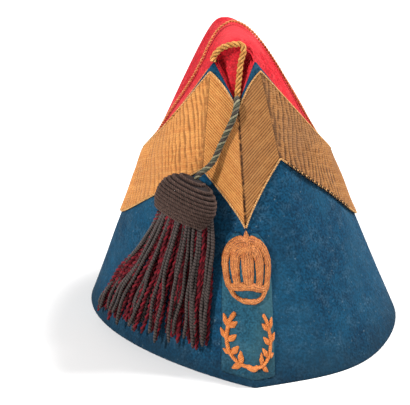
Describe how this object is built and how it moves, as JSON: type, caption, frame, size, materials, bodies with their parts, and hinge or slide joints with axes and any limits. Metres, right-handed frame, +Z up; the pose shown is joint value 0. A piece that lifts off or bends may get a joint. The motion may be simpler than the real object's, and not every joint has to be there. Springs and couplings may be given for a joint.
{
  "type": "folded cloth forage cap with tassel",
  "caption": "Tall folded wool forage cap with a braid-edged turban, red crown, cord pipings, an embroidered badge and a bullion tassel on a cord.",
  "frame": {"origin": "on the ground at the middle of the rim", "axes": "+Z up, -Y towards the front peak, +X to the viewer's right from the front; the long way of the head runs along Y"},
  "size_m": [0.1733, 0.2133, 0.1726],
  "materials": {
    "turban_cloth": "milled blue wool cloth",
    "crown_cloth": "bright red wool cloth",
    "gold_braid": "woven gold braid, soft sheen",
    "gold_cord": "twisted gold cord",
    "mixed_cord": "twisted grey, green and cream cord",
    "tassel_bullion": "grey-brown and dark red twisted strands",
    "patch_cloth": "worn blue-green cloth",
    "embroidery_thread": "orange-gold satin stitch"
  },
  "bodies": {
    "root": {"turban": "turban_cloth", "crown": "crown_cloth", "braid_left": "gold_braid", "braid_right": "gold_braid", "seam_piping": "gold_cord", "edge_piping": "gold_cord", "fold_cord": "gold_cord", "tassel_cord": "mixed_cord", "tassel": "tassel_bullion", "badge_patch": "patch_cloth", "crown_badge": "embroidery_thread", "wreath_badge": "embroidery_thread"}
  },
  "joints": []
}
